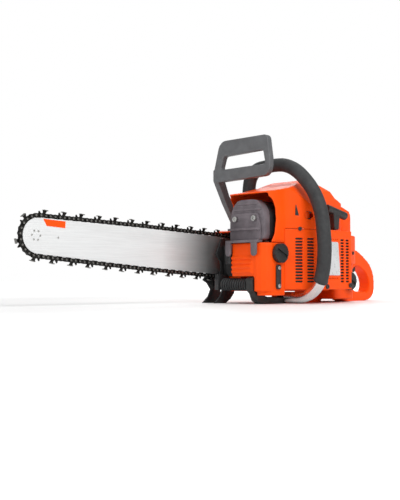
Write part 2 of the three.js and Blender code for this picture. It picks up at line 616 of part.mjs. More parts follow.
function addRear() {
  add("tank_and_rear_handle", tankHandle(), ORANGE);
  add("rear_buffer_1", rod(30, 46, 10, "x", CASE.rear + GAP, 66 - GAP, 20), RUBBER);
  add("rear_buffer_2", rod(-32, 46, 10, "x", CASE.rear + GAP, 66 - GAP, 20), RUBBER);

  const trigger = [[-7, 3], [0, 6], [7, 3], [8, -6], [13, -20], [8, -26], [4, -24], [5, -14], [-3, -6]];
  add("throttle_trigger", prism(trigger, "y", -4.6, 4.6), BLACK, saw, [TRIGGER.x, 0, TRIGGER.z]);
  const lockout = [[-5, 4], [-1, 9], [6, 11], [14, 8], [20, 1], [16, -2], [0, -4]];
  add("throttle_lockout", prism(lockout, "y", -4.6, 4.6), BLACK, saw, [LOCKOUT.x, 0, LOCKOUT.z]);
  const rocker = [...arc(0, 0, 7, Math.PI * 0.75, Math.PI * 2.25, 9), [3, 14], [-3, 14]];
  add("stop_switch", prism(rocker, "y", -4.6, 4.6), RUBBER, saw, [SWITCH.x, 0, SWITCH.z]);
}

// A filler cap with a plug in its neck, a slot for a tool and a ring of grips, and its flat seal.
function addCap(name, place) {
  const { r, plugR, depth, plug, seal } = CAP;
  const top = -(seal + GAP) - depth;
  let cap = join(rod(0, 0, r, "y", top, -(seal + GAP), 20), rod(0, 0, plugR, "y", -3, plug));
  cap = cut(cap, box([3 - r, r - 3], [top - 1, top + 3], [-2.6, 2.6]).rotate([0, 25, 0]));
  for (let i = 0; i < 10; i += 1) {
    const angle = (2 * Math.PI * (i + 0.5)) / 10;
    cap = cut(cap, rod((r + 0.8) * Math.cos(angle), (r + 0.8) * Math.sin(angle), 1.8, "y", top - 1, 0, 6));
  }
  const [x, y, z] = place;
  add(`${name}_seal`, ringCut(plugR + GAP, r - 1, -seal, -GAP), RUBBER, saw, [x, y, z]);
  add(name, cap, BLACK, saw, [x, y, z]);
}

function addSideStrap() {
  const x = -106;
  add("side_strap", prism(rounded([[x - 6, 26], [x + 6, 26], [x + 6, 68], [x - 6, 68]], 4), "y", -63.2, -60.3), RUBBER);
}

addEngine();
addMuffler();
addDrive();
addCovers();
addStarter();
addGuard();
addFrontHandle();
addRear();
addCap("oil_cap", [OIL_CAP.x, OIL_CAP.face, OIL_CAP.z]);
addCap("fuel_cap", [FUEL_CAP.x, FUEL_CAP.face, FUEL_CAP.z]);
addSideStrap();

export default saw;
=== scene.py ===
"""A 70 cc forestry chainsaw: the looks of each of its pieces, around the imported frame."""

import json
import math

import bmesh
import bpy
from mathutils import Matrix, Vector


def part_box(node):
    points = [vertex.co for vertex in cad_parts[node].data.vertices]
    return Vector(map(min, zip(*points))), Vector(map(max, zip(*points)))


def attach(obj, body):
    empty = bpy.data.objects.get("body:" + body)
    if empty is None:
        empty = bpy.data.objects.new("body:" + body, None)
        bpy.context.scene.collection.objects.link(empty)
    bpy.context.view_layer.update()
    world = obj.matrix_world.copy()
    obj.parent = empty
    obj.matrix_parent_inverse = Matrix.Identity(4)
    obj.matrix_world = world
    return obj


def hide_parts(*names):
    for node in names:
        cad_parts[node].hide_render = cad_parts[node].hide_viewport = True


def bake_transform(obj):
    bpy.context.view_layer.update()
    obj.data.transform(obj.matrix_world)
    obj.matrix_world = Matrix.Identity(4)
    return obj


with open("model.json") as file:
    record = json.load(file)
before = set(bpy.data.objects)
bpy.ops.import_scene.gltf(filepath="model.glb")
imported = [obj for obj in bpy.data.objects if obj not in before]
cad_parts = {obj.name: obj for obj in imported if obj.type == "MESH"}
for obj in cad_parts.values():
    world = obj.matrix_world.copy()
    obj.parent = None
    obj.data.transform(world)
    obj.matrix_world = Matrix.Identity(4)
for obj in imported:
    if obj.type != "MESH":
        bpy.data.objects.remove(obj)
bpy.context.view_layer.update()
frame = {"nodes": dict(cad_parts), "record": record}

bl_info = {
    "name": "Forestry chainsaw",
    "version": (1, 0, 0),
    "blender": (4, 5, 0),
    "location": "View3D > Sidebar > Chainsaw",
    "description": "Builds the shells, bar, chain, handles and fixings of a chainsaw around its frame",
    "category": "Object",
}

MM = 0.001
BODY_OF = {node: body for body, nodes in frame["record"]["behaviour"]["bodies"].items() for node in nodes}
SLOT_OF = {part["node"]: part["material_slot"] for part in frame["record"]["subparts"]}
JOINTS = {joint["name"]: joint for joint in frame["record"]["behaviour"]["joints"]}
CRANK = Vector(JOINTS["crankshaft_turn"]["pos_m"])
NOSE = Vector(JOINTS["nose_sprocket_turn"]["pos_m"])
BAR_LENGTH = (Vector((NOSE.x, 0, NOSE.z)) - Vector((CRANK.x, 0, CRANK.z))).length
BAR_TILT = math.atan2(NOSE.z - CRANK.z, CRANK.x - NOSE.x)
BAR_FRAME = Matrix.Translation((CRANK.x, NOSE.y, CRANK.z)) @ Matrix.Rotation(BAR_TILT, 4, "Y")
FLOOR_COLOUR = "#f4f4f4"


# ---------------------------------------------------------------- sizes and colours

class SawSizes(bpy.types.PropertyGroup):
    """The sizes that a user would change."""

    shell_voxel: bpy.props.FloatProperty(
        name="Shell grid", description="Grid that rounds the moulded shells' edges",
        default=1.3 * MM, min=0.5 * MM, unit="LENGTH")
    edge: bpy.props.FloatProperty(
        name="Edge", description="Width of the broken edges of cast and turned pieces",
        default=0.5 * MM, min=0.1 * MM, unit="LENGTH")
    pitch: bpy.props.FloatProperty(
        name="Chain pitch", description="Distance from one chain rivet to the next",
        default=8.255 * MM, unit="LENGTH")
    rivet_rise: bpy.props.FloatProperty(
        name="Rivet rise", description="Height of the chain's rivets above the bar's rails",
        default=3.8 * MM, unit="LENGTH")
    handle_radius: bpy.props.FloatProperty(
        name="Handle tube radius", description="Radius of the bare front handle tube",
        default=10 * MM, unit="LENGTH")
    grip_radius: bpy.props.FloatProperty(
        name="Grip radius", description="Radius over the front handle's rubber sleeve",
        default=12.3 * MM, unit="LENGTH")
    spring_radius: bpy.props.FloatProperty(
        name="Spring radius", description="Outer radius of the front vibration spring",
        default=11.3 * MM, unit="LENGTH")
    spring_turns: bpy.props.IntProperty(
        name="Spring turns", description="Turns of the front vibration spring", default=11)


class SawColours(bpy.types.PropertyGroup):
    """The colours that a user would change, as sRGB hex values."""

    orange: bpy.props.StringProperty(
        name="Orange", description="Colour of the enamelled and moulded shells", default="#ff5100")
    black: bpy.props.StringProperty(
        name="Black nylon", description="Colour of the black moulded parts", default="#1d1d1c")
    rubber: bpy.props.StringProperty(
        name="Rubber", description="Colour of the grip sleeve and buffers", default="#2a2b2c")
    guard: bpy.props.StringProperty(
        name="Guard grey", description="Colour of the hand guard", default="#58595b")
    bar: bpy.props.StringProperty(
        name="Bar paint", description="Colour of the guide bar's sides", default="#e0e1e1")
    chain: bpy.props.StringProperty(
        name="Chain steel", description="Colour of the oiled chain", default="#2e2d2b")
    muffler: bpy.props.StringProperty(
        name="Heated steel", description="Colour of the muffler's heat-stained sheet", default="#736b70")


# ---------------------------------------------------------------- materials

def linear(hex_colour):
    """An sRGB hex colour as the linear RGBA that shaders take."""
    text = hex_colour.lstrip("#")
    channels = [int(text[i:i + 2], 16) / 255 for i in (0, 2, 4)]
    return tuple(c / 12.92 if c <= 0.04045 else ((c + 0.055) / 1.055) ** 2.4 for c in channels) + (1.0,)


def shade(colour, factor):
    """A linear colour made lighter or darker."""
    return tuple(min(1.0, c * factor) for c in colour[:3]) + (1.0,)


def add_node(tree, kind, settings=None, links=None):
    """Adds a node. Settings are its properties or input values, and links map its inputs to sockets."""
    node = tree.nodes.new(kind)
    for key, value in (settings or {}).items():
        if key in node.inputs:
            node.inputs[key].default_value = value
        else:
            setattr(node, key, value)
    for key, socket in (links or {}).items():
        tree.links.new(socket, node.inputs[key])
    return node


def ramp(tree, factor, low, high, start=0.3, end=0.7):
    """A two-colour ramp."""
    node = add_node(tree, "ShaderNodeValToRGB", links={"Fac": factor})
    node.color_ramp.elements[0].position = start
    node.color_ramp.elements[0].color = low
    node.color_ramp.elements[1].position = end
    node.color_ramp.elements[1].color = high
    return node.outputs["Color"]


def start_material(name, metallic, **uniform):
    """A new material's tree, its shader and its Object coordinates."""
    material = bpy.data.materials.new(name)
    material.use_nodes = True
    tree = material.node_tree
    shader = tree.nodes["Principled BSDF"]
    shader.inputs["Metallic"].default_value = metallic
    for key, value in uniform.items():
        shader.inputs[key.replace("_", " ")].default_value = value
    where = add_node(tree, "ShaderNodeTexCoord").outputs["Object"]
    return material, tree, shader, where


def noise(tree, where, size, detail=4.0, stretch=None):
    """Noise whose blotches are about "size" metres across, drawn out along an axis by "stretch"."""
    if stretch:
        where = add_node(tree, "ShaderNodeMapping", {"Scale": stretch}, {"Vector": where}).outputs["Vector"]
    node = add_node(tree, "ShaderNodeTexNoise", {"Scale": 1 / size, "Detail": detail}, {"Vector": where})
    return node.outputs["Fac"]


def finish_material(tree, shader, colour, rough, bump=None, depth=0.0, strength=0.3):
    """Joins the colour, the roughness and the bump to the shader."""
    tree.links.new(colour, shader.inputs["Base Color"])
    tree.links.new(rough, shader.inputs["Roughness"])
    if bump is not None:
        settings = {"Strength": strength, "Distance": depth}
        node = add_node(tree, "ShaderNodeBump", settings, {"Height": bump})
        tree.links.new(node.outputs["Normal"], shader.inputs["Normal"])


def grey(value):
    return (value, value, value, 1.0)


def orange_enamel(colours):
    """Moulded nylon and cast magnesium in one satin orange: even colour, soft gloss, faint grain."""
    material, tree, shader, where = start_material("orange_enamel", 0.0, IOR=1.38, Specular_IOR_Level=0.3)
    base = linear(colours.orange)
    blotch = noise(tree, where, 60 * MM, 2.0)
    grain = noise(tree, where, 0.9 * MM)
    colour = ramp(tree, blotch, shade(base, 0.9), shade(base, 1.06))
    rough = ramp(tree, noise(tree, where, 12 * MM), grey(0.4), grey(0.52))
    finish_material(tree, shader, colour, rough, grain, 0.05 * MM, 0.35)
    return material


def black_nylon(colours):
    """Glass-filled nylon from a sparked mould: near black, with a fine matt grain."""
    material, tree, shader, where = start_material("black_nylon", 0.0, IOR=1.52)
    base = linear(colours.black)
    colour = ramp(tree, noise(tree, where, 8 * MM), shade(base, 0.8), shade(base, 1.5))
    rough = ramp(tree, noise(tree, where, 5 * MM), grey(0.42), grey(0.6))
    finish_material(tree, shader, colour, rough, noise(tree, where, 0.6 * MM), 0.08 * MM, 0.5)
    return material


def grip_rubber(colours):
    """Moulded rubber sleeve: dull charcoal with a pebbled skin, unevenly worn."""
    material, tree, shader, where = start_material("grip_rubber", 0.0, IOR=1.5)
    base = linear(colours.rubber)
    colour = ramp(tree, noise(tree, where, 20 * MM, 6.0), shade(base, 0.85), shade(base, 1.5))
    cells = add_node(tree, "ShaderNodeTexVoronoi", {"Scale": 1 / (1.4 * MM)}, {"Vector": where})
    rough = ramp(tree, noise(tree, where, 6 * MM), grey(0.6), grey(0.78))
    finish_material(tree, shader, colour, rough, cells.outputs["Distance"], 0.12 * MM, 0.5)
    return material


def guard_nylon(colours):
    """Moulded grey nylon of the hand guard: flat, with a fine grain and faint scuffs."""
    material, tree, shader, where = start_material("guard_nylon", 0.0, IOR=1.52)
    base = linear(colours.guard)
    colour = ramp(tree, noise(tree, where, 15 * MM, 6.0), shade(base, 0.85), shade(base, 1.15))
    rough = ramp(tree, noise(tree, where, 4 * MM, 6.0, (1, 0.2, 1)), grey(0.42), grey(0.58))
    finish_material(tree, shader, colour, rough, noise(tree, where, 0.7 * MM), 0.08 * MM, 0.5)
    return material


def zinc_steel(colours):
    """Zinc-plated steel fasteners and shafts: bright, with a fine uneven plating."""
    material, tree, shader, where = start_material("zinc_steel", 1.0)
    base = linear("#c3c3c0")
    colour = ramp(tree, noise(tree, where, 3 * MM), shade(base, 0.8), shade(base, 1.1))
    rough = ramp(tree, noise(tree, where, 1.5 * MM), grey(0.24), grey(0.4))
    finish_material(tree, shader, colour, rough, noise(tree, where, 0.5 * MM), 0.03 * MM, 0.3)
    return material


def chain_steel(colours):
    """Oiled, chromed chain steel: dark links, with oil films that catch the light unevenly."""
    material, tree, shader, where = start_material("chain_steel", 0.85)
    base = linear(colours.chain)
    colour = ramp(tree, noise(tree, where, 6 * MM, 6.0), shade(base, 0.35), shade(base, 1.3))
    rough = ramp(tree, noise(tree, where, 3 * MM), grey(0.28), grey(0.55))
    finish_material(tree, shader, colour, rough, noise(tree, where, 1.0 * MM), 0.05 * MM, 0.4)
    return material


def cutter_chrome(colours):
    """Chromed tops of the cutters and the rivets' heads: greyer than the links, worn at random."""
    material, tree, shader, where = start_material("cutter_chrome", 0.9)
    base = linear("#83827e")
    colour = ramp(tree, noise(tree, where, 4 * MM, 6.0), shade(base, 0.35), shade(base, 1.15))
    rough = ramp(tree, noise(tree, where, 2 * MM), grey(0.3), grey(0.5))
    finish_material(tree, shader, colour, rough, noise(tree, where, 0.8 * MM), 0.04 * MM, 0.35)
    return material


def cast_aluminium(colours):
    """Bead-blasted cast aluminium: pale grey, finely pitted, no direction."""
    material, tree, shader, where = start_material("cast_aluminium", 1.0)
    base = linear("#bfc0be")
    colour = ramp(tree, noise(tree, where, 10 * MM), shade(base, 0.8), shade(base, 1.05))
    rough = ramp(tree, noise(tree, where, 2 * MM), grey(0.4), grey(0.6))
    finish_material(tree, shader, colour, rough, noise(tree, where, 0.8 * MM), 0.08 * MM, 0.5)
    return material


def drawn_aluminium(colours):
    """Drawn aluminium tube: bright, with fine lines in the plane of the bend."""
    material, tree, shader, where = start_material("drawn_aluminium", 1.0)
    base = linear("#dcdddc")
    streaks = noise(tree, where, 1.0 * MM, 4.0, (1.0, 0.08, 0.08))
    colour = ramp(tree, streaks, shade(base, 0.94), shade(base, 1.02))
    rough = ramp(tree, streaks, grey(0.2), grey(0.28))
    finish_material(tree, shader, colour, rough, streaks, 0.01 * MM, 0.15)
    return material


def heated_steel(colours):
    """Muffler sheet after many hot runs: dull purple-grey scale in blotches."""
    material, tree, shader, where = start_material("heated_steel", 0.35)
    base = linear(colours.muffler)
    stain = noise(tree, where, 22 * MM, 8.0)
    colour = ramp(tree, stain, shade(base, 0.72), shade(base, 1.25), 0.3, 0.75)
    rough = ramp(tree, noise(tree, where, 6 * MM, 6.0), grey(0.4), grey(0.65))
    finish_material(tree, shader, colour, rough, noise(tree, where, 1.2 * MM), 0.08 * MM, 0.5)
    return material


def bar_lacquer_and_painted_shade(colours):
    """Pale lacquer with fine lengthwise grinding lines, and painted shade that darkens it towards the
    engine.
    """
    material, tree, shader, where = start_material("bar_lacquer_and_painted_shade", 0.1, Coat_Weight=0.15)
    shader.inputs["Coat Roughness"].default_value = 0.3
    base = linear(colours.bar)
    lines = noise(tree, where, 1.2 * MM, 5.0, (0.03, 1.0, 1.0))
    split = add_node(tree, "ShaderNodeSeparateXYZ", links={"Vector": where})
    # Painted shade: along X the colour darkens towards the engine and stands in for the shade at the bar's
    # root. It is not part of the lacquer.
    reach = {"From Min": NOSE.x + 170 * MM, "From Max": CRANK.x - 128 * MM}
    along = add_node(tree, "ShaderNodeMapRange", reach, {"Value": split.outputs["X"]})
    body = ramp(tree, along.outputs["Result"], base, shade(base, 0.17), 0.42, 1.0)
    fine = ramp(tree, lines, grey(0.9), grey(1.0))
    colour = add_node(tree, "ShaderNodeMix", {"data_type": "RGBA", "blend_type": "MULTIPLY"})
    colour.inputs["Factor"].default_value = 1.0
    tree.links.new(body, colour.inputs["A"])
    tree.links.new(fine, colour.inputs["B"])
    rough = ramp(tree, lines, grey(0.34), grey(0.5))
    finish_material(tree, shader, colour.outputs["Result"], rough, lines, 0.03 * MM, 0.35)
    return material


def foil_label(colours):
    """Printed silver foil without text: smooth, with a slight ripple from the adhesive."""
    material, tree, shader, where = start_material("foil_label", 0.15)
    base = linear("#cfd1d2")
    colour = ramp(tree, noise(tree, where, 12 * MM), shade(base, 0.97), shade(base, 1.02))
    rough = ramp(tree, noise(tree, where, 6 * MM), grey(0.25), grey(0.35))
    finish_material(tree, shader, colour, rough, noise(tree, where, 9 * MM, 1.0), 0.03 * MM, 0.15)
    return material


def filter_felt(colours):
    """Needled filter felt: pale straw, fibrous and fully matt."""
    material, tree, shader, where = start_material("filter_felt", 0.0, Sheen_Weight=0.3)
    base = linear("#d8cfae")
    fibre = noise(tree, where, 0.8 * MM, 6.0, (1.0, 0.3, 1.0))
    colour = ramp(tree, fibre, shade(base, 0.75), shade(base, 1.05))
    finish_material(tree, shader, colour, ramp(tree, fibre, grey(0.85), grey(0.95)), fibre, 0.2 * MM, 0.6)
    return material


def braided_nylon(colours):
    """Starter cord: off-white, with cells a millimetre wide that stand for its braid."""
    material, tree, shader, where = start_material("braided_nylon", 0.0)
    base = linear("#dcdcd6")
    braid = add_node(tree, "ShaderNodeTexVoronoi", {"Scale": 1 / (1.0 * MM)}, {"Vector": where})
    strand = braid.outputs["Distance"]
    colour = ramp(tree, strand, shade(base, 1.0), shade(base, 0.55), 0.1, 0.9)
    finish_material(tree, shader, colour, ramp(tree, strand, grey(0.6), grey(0.8)), strand, 0.2 * MM, 0.8)
    return material


def black_paint(colours):
    """Black baked paint on stamped steel: satin, greyer where the paint is worn."""
    material, tree, shader, where = start_material("black_paint", 0.0, IOR=1.5)
    base = linear("#29292a")
    chips = noise(tree, where, 3.5 * MM, 8.0)
    colour = ramp(tree, chips, shade(base, 1.0), linear("#4a4a48"), 0.6, 0.82)
    rough = ramp(tree, noise(tree, where, 5 * MM), grey(0.3), grey(0.48))
    finish_material(tree, shader, colour, rough, noise(tree, where, 1.2 * MM), 0.06 * MM, 0.4)
    return material


MAKERS = {
    "orange_shell": orange_enamel, "black_plastic": black_nylon, "rubber": grip_rubber,
    "guard_grey": guard_nylon, "steel": zinc_steel, "dark_steel": chain_steel,
    "aluminium": cast_aluminium, "hot_steel": heated_steel, "bar_steel": bar_lacquer_and_painted_shade,
    "label": foil_label, "felt": filter_felt, "cord": braided_nylon, "black_steel": black_paint,
    "tube": drawn_aluminium, "chrome": cutter_chrome,
}


def finish_of(slot):
    """The material of a slot or a finish, made when it is first asked for."""
    name = MAKERS[slot].__name__
    return bpy.data.materials.get(name) or MAKERS[slot](bpy.context.scene.saw_colours)


# ---------------------------------------------------------------- modelling helpers

def deselect():
    bpy.ops.object.select_all(action="DESELECT")


def pick(*chosen):
    """Selects only these objects, the first as the active one."""
    deselect()
    for piece in chosen:
        piece.select_set(True)
    bpy.context.view_layer.objects.active = chosen[0]


def modify(piece, kind, **settings):
    """Adds a modifier with its settings and applies it."""
    pick(piece)
    modifier = piece.modifiers.new(kind.title(), kind)
    for key, value in settings.items():
        setattr(modifier, key, value)
    bpy.ops.object.modifier_apply(modifier=modifier.name)


def edit(piece, *steps):
    """Runs edit-mode operators on the whole of a piece: each step is (operator, settings)."""
    pick(piece)
    bpy.ops.object.mode_set(mode="EDIT")
    bpy.ops.mesh.select_all(action="SELECT")
    for operator, settings in steps:
        operator(**settings)
    bpy.ops.object.mode_set(mode="OBJECT")


def copy_of(node):
    """A merged copy of a CAD node with its flat faces whole again."""
    piece = bpy.data.objects.new(f"{node}_skin", frame["nodes"][node].data.copy())
    bpy.context.collection.objects.link(piece)
    pick(piece)
    if piece.data.has_custom_normals:
        bpy.ops.mesh.customdata_custom_splitnormals_clear()
    edit(piece, (bpy.ops.mesh.remove_doubles, {"threshold": 0.005 * MM}))
    return piece


def dress(piece, slot, body, *nodes, finish=None):
    """Gives a piece its material, picked by its slot or a finish, hangs it on its body and hides the CAD
    nodes that it stands for.
    """
    piece.data.materials.clear()
    piece.data.materials.append(finish_of(finish or slot))
    if body:
        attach(piece, body)
    if nodes:
        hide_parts(*nodes)


def join(name, *chosen):
    """Several meshes as one piece at the origin."""
    pick(*chosen)
    if len(chosen) > 1:
        bpy.ops.object.join()
    piece = bpy.context.object
    piece.name = name
    bpy.ops.object.transform_apply(location=True, rotation=True, scale=True)
    return piece


def smooth_by_angle(piece, degrees=35):
    pick(piece)
    bpy.ops.object.shade_smooth_by_angle(angle=math.radians(degrees))


def plate(name, outline, low, high):
    """A plate whose outline is in X and Z, thickened along Y from low to high."""
    deselect()
    bpy.ops.mesh.primitive_circle_add(vertices=len(outline), radius=1.0, fill_type="NGON")
    piece = bpy.context.object
    piece.name = name
    for vertex, (u, v) in zip(piece.data.vertices, outline):
        vertex.co = (u, low, v)
    push = {"TRANSFORM_OT_translate": {"value": (0, high - low, 0)}}
    edit(
        piece,
        (bpy.ops.mesh.extrude_region_move, push),
        (bpy.ops.mesh.select_all, {"action": "SELECT"}),
        (bpy.ops.mesh.normals_make_consistent, {"inside": False}),
    )
    return piece


def button_head(name, centre, axis, radius, height, sides=20):
    """A round head: a disc with its outer edge rolled over, its top facing along the axis."""
    deselect()
    turn = Vector((0, 0, 1)).rotation_difference(Vector(axis)).to_euler()
    middle = Vector(centre) + Vector(axis) * (height / 2)
    bpy.ops.mesh.primitive_cylinder_add(
        vertices=sides, radius=radius, depth=height, location=middle, rotation=turn)
    piece = bpy.context.object
    piece.name = name
    bpy.ops.object.transform_apply(location=True, rotation=True, scale=True)
    width = min(radius, height) * 0.45
    modify(piece, "BEVEL", width=width, segments=3, limit_method="ANGLE", angle_limit=math.radians(40))
    return piece


def ring_points(centre, radius, count):
    """Points round a circle in a plane of constant Y."""
    points = []
    for i in range(count):
        angle = 2 * math.pi * i / count
        points.append(Vector(centre) + radius * Vector((math.cos(angle), 0, math.sin(angle))))
    return points


def tube_along(name, points, radius, swell=None, sides=6):
    """A tube with closed ends along a list of points. "swell" gives each point's share of the radius."""
    data = bpy.data.curves.new(name, "CURVE")
    data.dimensions = "3D"
    data.bevel_depth = radius
    data.bevel_resolution = sides
    data.use_fill_caps = True
    spline = data.splines.new("POLY")
    spline.points.add(len(points) - 1)
    for i, (target, point) in enumerate(zip(spline.points, points)):
        target.co = (*point, 1.0)
        target.radius = swell[i] if swell else 1.0
    piece = bpy.data.objects.new(name, data)
    bpy.context.collection.objects.link(piece)
    pick(piece)
    bpy.ops.object.convert(target="MESH")
    piece = bpy.context.object
    edit(
        piece,
        (bpy.ops.mesh.remove_doubles, {"threshold": 0.001 * MM}),
        (bpy.ops.mesh.normals_make_consistent, {"inside": False}),
    )
    smooth_by_angle(piece, 50)
    return piece


def through(points, per_span=8):
    """A centripetal Catmull-Rom curve through the points, as a list of points along it."""
    ends = [points[0] * 2 - points[1], *points, points[-1] * 2 - points[-2]]
    curve = []
    for p0, p1, p2, p3 in zip(ends, ends[1:], ends[2:], ends[3:]):
        t0 = 0.0
        t1 = t0 + (p1 - p0).length ** 0.5
        t2 = t1 + (p2 - p1).length ** 0.5
        t3 = t2 + (p3 - p2).length ** 0.5
        for i in range(per_span):
            t = t1 + (t2 - t1) * i / per_span
            a1 = p0.lerp(p1, (t - t0) / (t1 - t0))
            a2 = p1.lerp(p2, (t - t1) / (t2 - t1))
            a3 = p2.lerp(p3, (t - t2) / (t3 - t2))
            b1 = a1.lerp(a2, (t - t0) / (t2 - t0))
            b2 = a2.lerp(a3, (t - t1) / (t3 - t1))
            curve.append(b1.lerp(b2, (t - t1) / (t2 - t1)))
    curve.append(points[-1].copy())
    return curve


def lengths_along(points):
    """How far along a line of points each one lies."""
    run = [0.0]
    for a, b in zip(points, points[1:]):
        run.append(run[-1] + (b - a).length)
    return run


def point_at(points, run, distance):
    """The point at a distance along a line of points."""
    for a, b, start, end in zip(points, points[1:], run, run[1:]):
        if distance <= end or b is points[-1]:
            break
    return a.lerp(b, (distance - start) / max(end - start, 1e-9))


# ---------------------------------------------------------------- shells and castings

# Moulded shells: grid as a share of the shell voxel, rounds of smoothing, share of faces kept.
SHELLS = {
    "top_cover": (1.15, 5, 0.5), "air_filter_cover": (1.0, 5, 0.5), "tank_and_rear_handle": (1.25, 6, 0.5),
    "hand_guard": (0.8, 3, 0.5), "clutch_cover": (1.0, 3, 0.5), "crankcase": (1.2, 2, 0.5),
    "starter_grip": (0.5, 4, 0.6), "starter_cover": (0.75, 2, 0.45), "spring_bracket": (0.9, 4, 0.5),
    "handle_bracket": (0.9, 4, 0.5),
}

CASTINGS = (
    "muffler_body", "muffler_shield", "muffler_bolt_1", "muffler_bolt_2", "muffler_bracket", "oil_cap",
    "fuel_cap", "inner_spike", "outer_spike", "chain_catcher", "bar_stud_1", "bar_stud_2", "bar_nut_1",
    "bar_nut_2", "label_plate", "starter_cover_screw_1", "starter_cover_screw_2", "side_strap",
    "throttle_trigger", "throttle_lockout", "stop_switch", "guard_pivot_pin", "decompression_button",
    "rear_buffer_1", "rear_buffer_2", "flywheel", "clutch_drum", "oil_cap_seal", "fuel_cap_seal",
)

# The bracket's paint has burnt off against the hot muffler.
CASTING_FINISH = {"muffler_bracket": "hot_steel"}


class SAW_OT_shells(bpy.types.Operator):
    """Rounds the edges of the moulded shells as their moulds do."""

    bl_idname = "saw.shells"
    bl_label = "Moulded shells"

    def execute(self, context):
        voxel = context.scene.saw_sizes.shell_voxel
        for node, (share, rounds, keep) in SHELLS.items():
            piece = copy_of(node)
            modify(piece, "REMESH", mode="VOXEL", voxel_size=voxel * share)
            modify(piece, "SMOOTH", factor=0.5, iterations=rounds)
            modify(piece, "DECIMATE", ratio=keep)
            pick(piece)
            bpy.ops.object.shade_smooth()
            dress(piece, SLOT_OF[node], BODY_OF[node], node)
        return {"FINISHED"}


class SAW_OT_castings(bpy.types.Operator):
    """Breaks the edges of the stamped, cast and turned pieces."""

    bl_idname = "saw.castings"
    bl_label = "Stamped, cast and turned pieces"

    def execute(self, context):
        edge = context.scene.saw_sizes.edge
        for node in CASTINGS:
            piece = copy_of(node)
            modify(piece, "DECIMATE", decimate_type="DISSOLVE", angle_limit=math.radians(1))
            modify(
                piece, "BEVEL", width=edge, segments=2, limit_method="ANGLE",
                angle_limit=math.radians(35), use_clamp_overlap=True)
            smooth_by_angle(piece, 40)
            dress(piece, SLOT_OF[node], BODY_OF[node], node, finish=CASTING_FINISH.get(node))
        return {"FINISHED"}


class SAW_OT_inner(bpy.types.Operator):
    """Gives the pieces inside the engine their materials."""

    bl_idname = "saw.inner"
    bl_label = "Engine internals"

    def execute(self, context):
        for node, source in frame["nodes"].items():
            finish = finish_of(SLOT_OF[node])
            for place in source.material_slots:
                place.material = finish
            if not source.material_slots:
                source.data.materials.append(finish)
        return {"FINISHED"}


# ---------------------------------------------------------------- guide bar and chain

# The bar's upper edge in millimetres: distance from the crankshaft towards the nose, and half-depth.
BAR_EDGE = ((62, 32.5), (96, 34.5), (290, 32))
NOSE_RADIUS = 27 * MM
SPROCKET_RADIUS = 21 * MM
BAR_HALF = 2.3 * MM
PATCH_DEPTH = 0.12 * MM

# Links after which the pattern of left and right cutters repeats.
PATTERN = 8


def rail_points(rise, nose_steps=24):
    """The bar's rails raised by "rise": out along the top, over the nose and back, in the bar's frame."""
    upper = [Vector((-x * MM, 0, z * MM + rise)) for x, z in BAR_EDGE]
    nose = []
    for i in range(nose_steps + 1):
        angle = math.pi * (0.5 + i / nose_steps)
        reach = NOSE_RADIUS + rise
        nose.append(Vector((reach * math.cos(angle) - BAR_LENGTH, 0, reach * math.sin(angle))))
    lower = [Vector((p.x, 0, -p.z)) for p in reversed(upper)]
    return upper + nose + lower


class SAW_OT_guide_bar(bpy.types.Operator):
    """The laminated guide bar with its rails, nose rivets and plain corner patch."""

    bl_idname = "saw.guide_bar"
    bl_label = "Guide bar"

    def execute(self, context):
        piece = copy_of("guide_bar")
        modify(piece, "DECIMATE", decimate_type="DISSOLVE", angle_limit=math.radians(0.5))
        modify(
            piece, "BEVEL", width=0.35 * MM, segments=2, limit_method="ANGLE",
            angle_limit=math.radians(50))
        smooth_by_angle(piece, 40)
        dress(piece, "bar_steel", "engine", "guide_bar")
        self.rivets()
        self.patch()
        return {"FINISHED"}

    def rivets(self):
        """Six nose rivets in a ring and one grease hole's rim, on both sides."""
        heads = []
        for side in (-1, 1):
            spots = ring_points((-BAR_LENGTH - 4 * MM, 0, 0), 7.5 * MM, 6)
            spots.append(Vector((-BAR_LENGTH + 36 * MM, 0, 0)))
            for spot in spots:
                start = spot + Vector((0, side * BAR_HALF, 0))
                heads.append(button_head("rivet", start, (0, side, 0), 1.7 * MM, 0.45 * MM, 16))
        piece = join("bar_nose_rivets", *heads)
        piece.data.transform(BAR_FRAME)
        smooth_by_angle(piece)
        dress(piece, "steel", "engine")

    def patch(self):
        """A plain orange patch under the upper rail near the nose, on each side."""
        left = -BAR_LENGTH + 7 * MM
        right = left + 41 * MM
        upper = NOSE_RADIUS - 0.6 * MM
        lower = upper - 10.5 * MM
        outline = [(left, upper - 0.2 * MM), (right, upper), (right, lower), (left + 7 * MM, lower)]
        halves = []
        for side in (-1, 1):
            near, far = sorted((side * BAR_HALF, side * (BAR_HALF + PATCH_DEPTH)))
            halves.append(plate("patch", outline, near, far))
        piece = join("bar_corner_patch", *halves)
        piece.data.transform(BAR_FRAME)
        dress(piece, "orange_shell", "engine")


